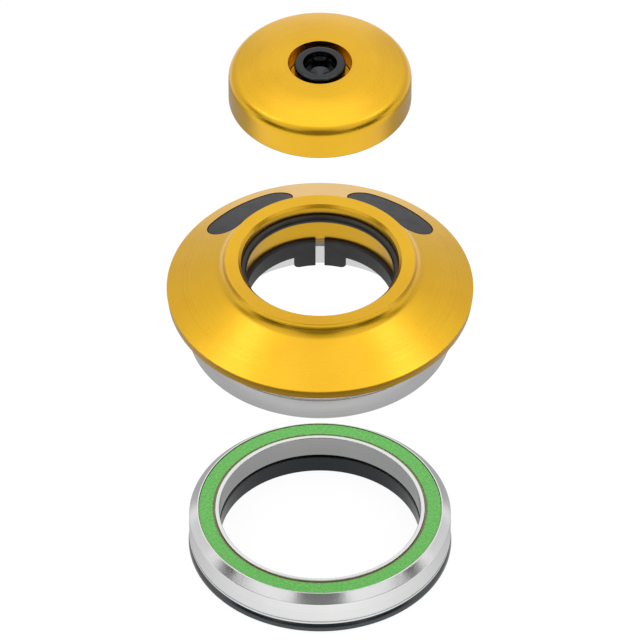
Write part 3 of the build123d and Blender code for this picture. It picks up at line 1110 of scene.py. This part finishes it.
@dataclass
class Bearing:
    """One sealed angular contact bearing cartridge, either way up."""

    shop: Workshop
    place: str
    way: WayUp
    inner_body: Body
    ball_body: Body
    height: float = 7.0
    bore: float = 20.0
    bore_break: float = 0.22
    bevel: float = 1.6
    bevel_break: float = 0.18
    bevel_land: float = 0.2
    seat_chamfer: float = 2.4
    seat_break: float = 0.15
    edge: float = 0.12
    plain_break: float = 0.25
    face_break: float = 0.1
    fine_break: float = 0.08
    pitch: float = 23.0
    ball: float = 1.5875
    balls: int = 32
    race: float = 1.6175
    race_steps: int = 16
    outer_shoulder: float = 23.7475
    outer_land: float = 24.4475
    inner_shoulder: float = 22.7525
    inner_land: float = 21.5025
    lip_land: float = 20.8
    groove_rise: float = 0.7
    groove_width: float = 0.28
    groove_depth: float = 0.3
    groove_break: float = 0.04
    seal_depth: float = 0.85
    seal_recess: float = 0.15
    seal_thickness: float = 0.6
    seal_gap: float = 0.05
    seal_rim_break: float = 0.15
    lip_width: float = 0.45
    lip_drop: float = 0.2
    lip_break: float = 0.12
    lip_root_break: float = 0.06

    def __post_init__(self) -> None:
        """Take the cartridge's place and outer radius from the frame."""
        self.low, self.high = heights(f"{self.place}_outer_ring")
        self.radius = outer_radius(f"{self.place}_outer_ring")
        self.seal_seat = self.radius - self.bevel - self.bevel_land

    def level(self, rise: float) -> float:
        """Turn a rise from the plain end into a height of the headset."""
        return self.low + rise if self.way is WayUp.BEVEL_UP else self.high - rise

    def raceway(self, first: float, last: float, outside: bool) -> list[Point]:
        """Give the ball groove's arc between two walls of the ring.

        Args:
            first: Radius of the wall where the arc starts, on its bevel side for the
                outer ring and on its plain side for the inner one.
            last: Radius of the wall where it ends.
            outside: Whether the arc is the outer ring's.

        Returns:
            The arc's points in millimetres.
        """
        sign, facing = (1, 0.0) if outside else (-1, 180.0)
        start, end = (
            math.degrees(math.acos(min(1.0, sign * (wall - self.pitch) / self.race)))
            for wall in (first, last)
        )
        middle = (self.pitch, self.height / 2)
        arc = arc_points(middle, self.race, facing + sign * start, facing - sign * end, self.race_steps)
        return [(radius, self.level(rise)) for radius, rise in arc]

    def build_outer(self) -> None:
        """Turn the outer ring with its bevel, its seal seats and its fine groove."""
        seat, top = self.level(self.height - self.seal_depth), self.level(self.height)
        foot = self.level(0)
        groove_low = self.level(self.groove_rise - self.groove_width / 2)
        groove_high = self.level(self.groove_rise + self.groove_width / 2)
        points = section(
            [
                Corner(self.outer_land, foot, self.edge),
                Corner(self.radius, foot, self.plain_break),
                Corner(self.radius, groove_low, self.groove_break),
                (self.radius - self.groove_depth, groove_low),
                (self.radius - self.groove_depth, groove_high),
                Corner(self.radius, groove_high, self.groove_break),
                Corner(self.radius, self.level(self.height - self.bevel), self.bevel_break),
                Corner(self.radius - self.bevel, top, self.face_break),
                (self.seal_seat, top),
                (self.seal_seat, seat),
                (self.outer_shoulder, seat),
            ]
            + self.raceway(self.outer_shoulder, self.outer_land, True)
        )
        ring = self.shop.turn(f"{self.place}_outer_ring_ground", points, "bearing_steel")
        mount(ring, Body.HEAD_TUBE, "bearing_steel", f"{self.place}_outer_ring")

    def build_inner(self) -> None:
        """Turn the inner ring with its chamfered seat and its lip land."""
        seat, top = self.level(self.height - self.seal_depth), self.level(self.height)
        foot = self.level(0)
        points = section(
            [
                (self.inner_land, seat),
                (self.lip_land, seat),
                Corner(self.lip_land, top, self.fine_break),
                Corner(self.bore, top, self.bore_break),
                Corner(self.bore, self.level(self.seat_chamfer), self.seat_break),
                Corner(self.bore + self.seat_chamfer, foot, self.fine_break),
                Corner(self.inner_shoulder, foot, self.fine_break),
            ]
            + self.raceway(self.inner_shoulder, self.inner_land, False)
        )
        ring = self.shop.turn(f"{self.place}_inner_ring_ground", points, "bearing_steel")
        mount(ring, self.inner_body, "bearing_steel", f"{self.place}_inner_ring")

    def build_seals(self) -> None:
        """Turn the two rubber seals, the one at the bevel with a stepped lip."""
        face = self.level(self.height - self.seal_recess)
        back = self.level(self.height - self.seal_recess - self.seal_thickness)
        step = self.level(self.height - self.seal_recess - self.lip_drop)
        lip, lip_edge = self.lip_land + self.seal_gap, self.lip_land + self.lip_width
        rim = self.seal_seat - self.seal_gap
        bevel_side = section(
            [
                (lip, back),
                (rim, back),
                Corner(rim, face, self.seal_rim_break),
                Corner(lip_edge, face, self.lip_break),
                Corner(lip_edge, step, self.lip_root_break),
                Corner(lip, step, self.fine_break),
            ]
        )
        face = self.level(self.seal_recess)
        back = self.level(self.seal_recess + self.seal_thickness)
        inside, outside = self.inner_shoulder + self.seal_gap, self.outer_land - self.seal_gap
        plain_side = section(
            [
                Corner(inside, face, self.face_break),
                Corner(outside, face, self.face_break),
                (outside, back),
                (inside, back),
            ]
        )
        for side, points in (("bevel_side_seal", bevel_side), ("chamfer_side_seal", plain_side)):
            seal = self.shop.turn(f"{self.place}_{side}_moulded", points, "green_seal")
            mount(seal, Body.HEAD_TUBE, "green_seal", f"{self.place}_{side}")

    def build_balls(self) -> None:
        """Set the balls round the pitch circle and dress their cage."""
        name = f"{self.place}_balls"
        balls = run_tree(
            f"{name}_polished",
            bpy.data.meshes.new(f"{name}_polished"),
            self.shop.ball_ring,
            {
                "Pitch Radius": self.pitch * MM,
                "Ball Radius": self.ball * MM,
                "Ball Count": self.balls,
                "Height": self.level(self.height / 2) * MM,
                "Material": self.shop.finishes["ball_steel"],
            },
        )
        mount(balls, self.ball_body, "ball_steel", name)
        self.shop.dress(f"{self.place}_ball_cage", "cage_nylon")

    def build(self) -> None:
        """Build the whole cartridge."""
        self.build_outer()
        self.build_inner()
        self.build_seals()
        self.build_balls()


@dataclass
class CrownRace:
    """The black race that sits on the fork crown and centres the lower bearing."""

    shop: Workshop
    bore: float = 19.9
    bottom_break: float = 0.3
    flange_height: float = 1.8
    cone_top_radius: float = 20.8
    cone_foot_radius: float = 22.67
    cone_break: float = 0.1
    top_break: float = 0.15
    edge_rise: float = 0.35
    edge_inset: float = 0.65
    edge_steps: int = 10

    def build(self) -> None:
        """Turn the race with its cone and its round-edged flange."""
        low, high = heights("crown_race")
        radius = outer_radius("crown_race")
        top, edge_foot = low + self.flange_height, low + self.edge_rise
        chord = Vector((-self.edge_inset, top - edge_foot))
        round_radius = chord.length_squared / (2 * self.edge_inset)
        sweep = 2 * math.degrees(math.atan2(self.edge_inset, chord.y))
        centre = (radius - round_radius, edge_foot)
        points = section(
            [
                Corner(self.bore, low, self.bottom_break),
                Corner(radius - self.edge_rise, low, self.cone_break),
            ]
            + arc_points(centre, round_radius, 0, sweep, self.edge_steps)
            + [
                (self.cone_foot_radius, top),
                Corner(self.cone_top_radius, high, self.cone_break),
                Corner(self.bore, high, self.top_break),
            ]
        )
        race = self.shop.turn("crown_race_turned", points, "black_anodised")
        mount(race, Body.LOWER_STEERING, "black_anodised", "crown_race")


@dataclass(frozen=True)
class Card:
    """A curved card that hangs round the object, darkest at its lower edge.

    Azimuth and elevation are in degrees, from the first edge to the last.
    """

    name: str
    azimuth: tuple[float, float]
    elevation: tuple[float, float]
    glow: tuple[float, float]


@dataclass(frozen=True)
class Softbox:
    """A square lamp, with its place in degrees, its side and its power in watts."""

    name: str
    azimuth: float
    elevation: float
    size_mm: float
    power: float


@dataclass
class Studio:
    """A white table, soft lamps and dark cards, with a long lens high in front."""

    elevation_deg: float = 43.2
    distance_mm: float = 2600.0
    frame_width_mm: float = 125.4
    aim_height_mm: float = 60.2
    sensor_mm: float = 36.0
    clip_m: tuple[float, float] = (0.1, 50.0)
    world_fill: float = 0.72
    table_colour: Colour = (0.9, 0.9, 0.9, 1.0)
    floor_glow: float = 0.86
    floor_size_mm: float = 9000.0
    floor_gap_mm: float = 0.02
    table_white: float = 1.08
    # What metal mirrors of the table is painted: light in front, shade under and behind the object and
    # within the rings
    near_fade_mm: tuple[float, float] = (-45.0, 22.0)
    far_fade_mm: tuple[float, float] = (130.0, 210.0)
    painted_light_in_front: float = 1.12
    painted_shade_behind: float = 0.4
    middle_radii_mm: tuple[float, float] = (17.0, 24.0)
    painted_shade_in_rings: float = 0.78
    # The tray is painted shade: a toned sheet, seen only in reflections, standing in for the shadowed
    # table under the cover
    tray_height_mm: float = 50.0
    tray_radius_mm: float = 50.0
    tray_sides: int = 64
    painted_shade_tones: tuple[tuple[float, str], ...] = (
        (0.0, "#E4E4E4"),
        (0.3, "#E4E4E4"),
        (0.5, "#D0D0D0"),
        (0.62, "#B6B6B6"),
        (0.72, "#B6B6B6"),
        (0.78, "#DADADA"),
        (0.83, "#463C32"),
        (0.99, "#463C32"),
    )
    card_reach_mm: float = 1500.0
    card_columns: int = 24
    card_rows: int = 8
    front_cards: tuple[Card, ...] = (
        Card("front_card", (-32, 32), (1.5, 34), (0.05, 0.3)),
        Card("front_patch", (-22, 22), (34, 84), (0.04, 0.75)),
    )
    side_cards: tuple[Card, ...] = (
        Card("card", (36, 72), (1.5, 32), (0.02, 0.1)),
        Card("patch", (76, 98), (24, 40), (0.03, 0.05)),
        Card("wing", (102, 165), (1.5, 40), (0.72, 0.85)),
    )
    lamp_reach_mm: float = 1300.0
    softboxes: tuple[Softbox, ...] = (
        Softbox("left_softbox", -98, 60, 300, 0.5),
        Softbox("right_softbox", 98, 60, 300, 0.5),
        Softbox("overhead_softbox", 180, 82, 900, 1.3),
    )

    def aim(self, obj: bpy.types.Object) -> None:
        """Turn a lamp or the camera towards the middle of the view."""
        obj.rotation_euler = (self.centre() - obj.location).to_track_quat("-Z", "Y").to_euler()

    def centre(self) -> Vector:
        """Give the point on the axis that the camera looks at."""
        return Vector((0.0, 0.0, self.aim_height_mm * MM))

    def place(self, azimuth_deg: float, elevation_deg: float, reach_mm: float) -> Vector:
        """Give a place in the studio.

        Args:
            azimuth_deg: Its azimuth, which is 0 at the camera.
            elevation_deg: Its elevation above the middle of the view.
            reach_mm: Its distance from there.

        Returns:
            The place in metres.
        """
        azimuth = math.radians(azimuth_deg)
        elevation = math.radians(elevation_deg)
        flat = math.cos(elevation)
        way = Vector((flat * math.sin(azimuth), -flat * math.cos(azimuth), math.sin(elevation)))
        return self.centre() + way * reach_mm * MM

    def build_camera(self) -> None:
        """Set the camera at the photograph's viewing angle."""
        data = bpy.data.cameras.new("studio_camera")
        data.sensor_width = self.sensor_mm
        data.lens = self.sensor_mm * self.distance_mm / self.frame_width_mm
        data.clip_start, data.clip_end = self.clip_m
        camera = bpy.data.objects.new("studio_camera", data)
        bpy.context.scene.collection.objects.link(camera)
        camera.location = self.place(0, self.elevation_deg, self.distance_mm)
        self.aim(camera)
        bpy.context.scene.camera = camera

    def seen_directly(self, tree: bpy.types.NodeTree) -> bpy.types.Node:
        """Tell camera, glossy and transmission rays from those that light the object."""
        rays = add_node(tree, "ShaderNodeLightPath").outputs
        either = {0: rays["Is Camera Ray"], 1: rays["Is Glossy Ray"]}
        first = add_node(tree, "ShaderNodeMath", either, operation="MAXIMUM")
        inputs = {0: first, 1: rays["Is Transmission Ray"]}
        return add_node(tree, "ShaderNodeMath", inputs, operation="MAXIMUM")

    def build_world(self) -> None:
        """Make a white surround that lights the object less than it shows."""
        world = bpy.data.worlds.new("studio_surround")
        bpy.context.scene.world = world
        world.use_nodes = True
        tree = world.node_tree
        tree.nodes.clear()
        strength = add_node(
            tree,
            "ShaderNodeMapRange",
            {"Value": self.seen_directly(tree), "To Min": self.world_fill, "To Max": 1.0},
        )
        surround = add_node(tree, "ShaderNodeBackground", {"Color": WHITE, "Strength": strength})
        add_node(tree, "ShaderNodeOutputWorld", {"Surface": surround})

    def show_front(self, tree: bpy.types.NodeTree, shader: bpy.types.Node) -> None:
        """Show a shader on a surface's front and leave its back clear."""
        clear = add_node(tree, "ShaderNodeBsdfTransparent")
        side = add_node(tree, "ShaderNodeNewGeometry").outputs["Backfacing"]
        mixed = add_node(tree, "ShaderNodeMixShader", {0: side, 1: shader, 2: clear})
        add_node(tree, "ShaderNodeOutputMaterial", {"Surface": mixed})

    def painted_table_shade(self, tree: bpy.types.NodeTree) -> bpy.types.Node:
        """Paint light and shade into the table as metal mirrors it, from place to place.

        Args:
            tree: The table's node tree.

        Returns:
            The node that gives the tone: painted light in front, painted shade under and
            just behind the object, bright again further back, and painted shade within the rings.
        """
        at = LatheCoordinates(tree)
        back = at.along["Y"]
        near, far, middle = (
            add_node(
                tree,
                "ShaderNodeMapRange",
                {
                    "Value": value,
                    "From Min": first * MM,
                    "From Max": last * MM,
                    "To Min": start,
                    "To Max": end,
                },
                interpolation_type="SMOOTHSTEP",
            )
            for value, (first, last), start, end in (
                (back, self.near_fade_mm, self.painted_light_in_front, self.painted_shade_behind),
                (back, self.far_fade_mm, 0.0, 1.0),
                (at.radius, self.middle_radii_mm, self.painted_shade_in_rings, 1.0),
            )
        )
        outer = add_node(tree, "ShaderNodeMath", {0: near, 1: far}, operation="MAXIMUM")
        return add_node(tree, "ShaderNodeMath", {0: outer, 1: middle}, operation="MULTIPLY")

    def build_floor(self) -> None:
        """Lay the white table under the headset."""
        material = new_material("white_table")
        tree = material.node_tree
        matte = add_node(tree, "ShaderNodeBsdfDiffuse", {"Color": self.table_colour})
        strength = add_node(
            tree,
            "ShaderNodeMapRange",
            {
                "Value": add_node(tree, "ShaderNodeLightPath").outputs["Is Camera Ray"],
                # Metal mirrors the table with painted light and shade, while the camera sees it plain
                # white
                "To Min": self.painted_table_shade(tree),
                "To Max": self.table_white,
            },
        )
        glow = add_node(tree, "ShaderNodeEmission", {"Color": WHITE, "Strength": strength})
        share = add_node(
            tree,
            "ShaderNodeMath",
            {0: self.seen_directly(tree), 1: self.floor_glow},
            operation="MULTIPLY",
        )
        mixed = add_node(tree, "ShaderNodeMixShader", {0: share, 1: matte, 2: glow})
        self.show_front(tree, mixed)
        half = self.floor_size_mm / 2 * MM
        drop = -self.floor_gap_mm * MM
        mesh = bpy.data.meshes.new("studio_floor")
        corners = ((-half, -half), (half, -half), (half, half), (-half, half))
        mesh.from_pydata([(x, y, drop) for x, y in corners], [], [(0, 1, 2, 3)])
        mesh.materials.append(material)
        link_object("studio_floor", mesh)

    def hang_card(
        self,
        name: str,
        mesh: bpy.types.Mesh,
        material: bpy.types.Material,
        colour: Link | Colour,
        glow: Link | float,
    ) -> None:
        """Hang a one-sided card that the metal reflects and the camera doesn't see.

        Args:
            name: The card's name.
            mesh: Its shape, with its seen side along its normals.
            material: Its material, which may hold the nodes that colour and glow come from.
            colour: The colour of its seen side.
            glow: How bright its seen side is.
        """
        tree = material.node_tree
        cloth = add_node(tree, "ShaderNodeEmission", {"Color": colour, "Strength": glow})
        self.show_front(tree, cloth)
        mesh.materials.append(material)
        card = link_object(name, mesh)
        card.visible_camera = False
        card.visible_diffuse = False
        card.visible_transmission = False
        card.visible_shadow = False

    def build_card(self, card: Card) -> None:
        """Hang a curved card round the object."""
        material = new_material(f"{card.name}_cloth")
        low, high = (
            (self.aim_height_mm + self.card_reach_mm * math.sin(math.radians(angle))) * MM
            for angle in card.elevation
        )
        strength = add_node(
            material.node_tree,
            "ShaderNodeMapRange",
            {
                "Value": LatheCoordinates(material.node_tree).along["Z"],
                "From Min": low,
                "From Max": high,
                "To Min": card.glow[0],
                "To Max": card.glow[1],
            },
            interpolation_type="SMOOTHSTEP",
        )
        columns, rows = self.card_columns, self.card_rows
        verts = []
        for row in range(rows + 1):
            for column in range(columns + 1):
                turn = card.azimuth[0] + (card.azimuth[1] - card.azimuth[0]) * column / columns
                lift = card.elevation[0] + (card.elevation[1] - card.elevation[0]) * row / rows
                verts.append(self.place(turn, lift, self.card_reach_mm))
        faces = []
        for row in range(rows):
            for column in range(columns):
                corner = row * (columns + 1) + column
                faces.append((corner, corner + columns + 1, corner + columns + 2, corner + 1))
        mesh = bpy.data.meshes.new(card.name)
        mesh.from_pydata(verts, [], faces)
        self.hang_card(card.name, mesh, material, WHITE, strength)

    def build_painted_shade_tray(self) -> None:
        """Lay a sheet of painted shade that the cover's bore, rim and bearing reflect from above."""
        material = new_material("painted_shade_card_cloth")
        tree = material.node_tree
        share = add_node(
            tree,
            "ShaderNodeMapRange",
            {
                "Value": LatheCoordinates(tree).radius,
                "From Min": 0.0,
                "From Max": self.tray_radius_mm * MM,
            },
        )
        # The ramp's tones are painted shade, darkest in a brown ring near the sheet's edge
        ramp = add_node(tree, "ShaderNodeValToRGB", {"Fac": share})
        stops = ramp.color_ramp.elements
        for position, colour in self.painted_shade_tones:
            stop = stops[0] if position == 0 else stops.new(position)
            stop.color = linear(colour)
        stops.remove(stops[-1])
        height = self.tray_height_mm * MM
        ring = arc_points((0, 0), self.tray_radius_mm * MM, 0, 360, self.tray_sides)[:-1]
        mesh = bpy.data.meshes.new("painted_shade_card")
        mesh.from_pydata([(x, y, height) for x, y in ring], [], [tuple(range(self.tray_sides))])
        self.hang_card("painted_shade_card", mesh, material, ramp, 1.0)

    def build_softbox(self, box: Softbox) -> None:
        """Hang one square lamp, which the camera doesn't see."""
        data = bpy.data.lights.new(box.name, "AREA")
        data.shape = "SQUARE"
        data.size = box.size_mm * MM
        data.energy = box.power
        lamp = bpy.data.objects.new(box.name, data)
        lamp.location = self.place(box.azimuth, box.elevation, self.lamp_reach_mm)
        self.aim(lamp)
        lamp.visible_camera = False
        bpy.context.scene.collection.objects.link(lamp)

    def build(self) -> None:
        """Set up the camera, the surround, the table, the cards and the lamps."""
        self.build_camera()
        self.build_world()
        self.build_floor()
        for card in self.front_cards:
            self.build_card(card)
        for card in self.side_cards:
            start, end = card.azimuth
            self.build_card(replace(card, name=f"left_{card.name}", azimuth=(-end, -start)))
            self.build_card(replace(card, name=f"right_{card.name}"))
        self.build_painted_shade_tray()
        for box in self.softboxes:
            self.build_softbox(box)


def build_finishes() -> dict[str, bpy.types.Material]:
    """Make every finish of the headset.

    Returns:
        The materials by the names that the sub-assemblies use.
    """
    finishes: list[Finish] = [
        # Anodised aluminium: a dyed clear oxide over turned and lightly blasted metal,
        # so it reflects in gold and goes pale where it is seen edge on
        TurnedMetal(
            name="gold_anodised", colour="#EBB713", deep_colour="#E0AA0D",
            roughness=0.3, roughness_swing=0.05, line_pitch_mm=0.36, line_depth_mm=0.0025,
            grain_mm=0.26, grain_depth_mm=0.004, anisotropy=0.35, coat=0.5, coat_roughness=0.22,
        ),
        # Black anodised aluminium: the same oxide dyed dark, with a soft grey shine
        TurnedMetal(
            name="black_anodised", colour="#41464A", deep_colour="#34383C",
            roughness=0.3, roughness_swing=0.04, line_pitch_mm=0.3, line_depth_mm=0.004,
            grain_mm=0.25, grain_depth_mm=0.003, anisotropy=0.3, coat=1.0, coat_roughness=0.2,
        ),
        # Bearing steel, ground all over: bright and nearly neutral, with faint lines
        TurnedMetal(
            name="bearing_steel", colour="#EBECEB", deep_colour="#E0E1E0",
            roughness=0.18, roughness_swing=0.05, line_pitch_mm=0.3, line_depth_mm=0.004,
            grain_mm=0.2, grain_depth_mm=0.003, anisotropy=0.45,
        ),
        # Ball steel, lapped to a mirror
        TurnedMetal(
            name="ball_steel", colour="#E6E7E8", deep_colour="#E2E3E4",
            roughness=0.06, roughness_swing=0.02, line_pitch_mm=0.6, line_depth_mm=0.0005,
            grain_mm=0.4, grain_depth_mm=0.0005, anisotropy=0.0,
        ),
        # Black oxide on steel: a thin oiled black skin with a low sharp shine
        TurnedMetal(
            name="black_oxide", colour="#2A2B30", deep_colour="#1E1F24",
            roughness=0.2, roughness_swing=0.05, line_pitch_mm=0.35, line_depth_mm=0.003,
            grain_mm=0.25, grain_depth_mm=0.003, anisotropy=0.2, coat=0.7, coat_roughness=0.12,
        ),
        # Nitrile rubber ring, moulded smooth and lightly greased
        Moulded(
            name="seal_ring_rubber", colour="#2A2A28", deep_colour="#1C1C1A",
            roughness=0.34, texture_mm=0.5, texture_depth_mm=0.01,
        ),
        # Soft rubber plugs, matt from a textured mould
        Moulded(
            name="plug_rubber", colour="#454548", deep_colour="#37373A",
            roughness=0.62, texture_mm=0.35, texture_depth_mm=0.025, specular=0.35,
        ),
        # Glass-filled nylon, nearly black with the fine speckle of its fibres
        Moulded(
            name="filled_nylon", colour="#35343A", deep_colour="#27272C",
            roughness=0.48, texture_mm=0.3, texture_depth_mm=0.02,
        ),
        # Unfilled nylon of the ball cage, ivory and waxy
        Moulded(
            name="cage_nylon", colour="#D9D2BD", deep_colour="#CFC7AF",
            roughness=0.45, texture_mm=0.6, texture_depth_mm=0.01,
        ),
        # Green nitrile rubber seal with a fine pebble, and edges darkened by grease and painted shade
        SealRubber(
            name="green_seal", colour="#84E472", deep_colour="#64C554", grease_and_shade="#98906A",
            lip_outer_mm=21.25, rim_inner_mm=24.0,
        ),
    ]
    return {finish.name: finish.build() for finish in finishes}


def main() -> None:
    """Build the studio and every sub-assembly."""
    logging.basicConfig(level=logging.INFO, format="%(name)s: %(message)s")
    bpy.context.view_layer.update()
    bpy.context.scene.view_settings.view_transform = "Standard"
    Studio().build()
    shop = Workshop(turning_tree(), ball_ring_tree(), thread_tree(), build_finishes())
    TopCap(shop).build()
    Cover(shop).build()
    Bearing(shop, "upper", WayUp.BEVEL_DOWN, Body.UPPER_STEERING, Body.UPPER_BALLS).build()
    Bearing(shop, "lower", WayUp.BEVEL_UP, Body.LOWER_STEERING, Body.LOWER_BALLS).build()
    CrownRace(shop).build()


if __name__ == "__main__":
    main()
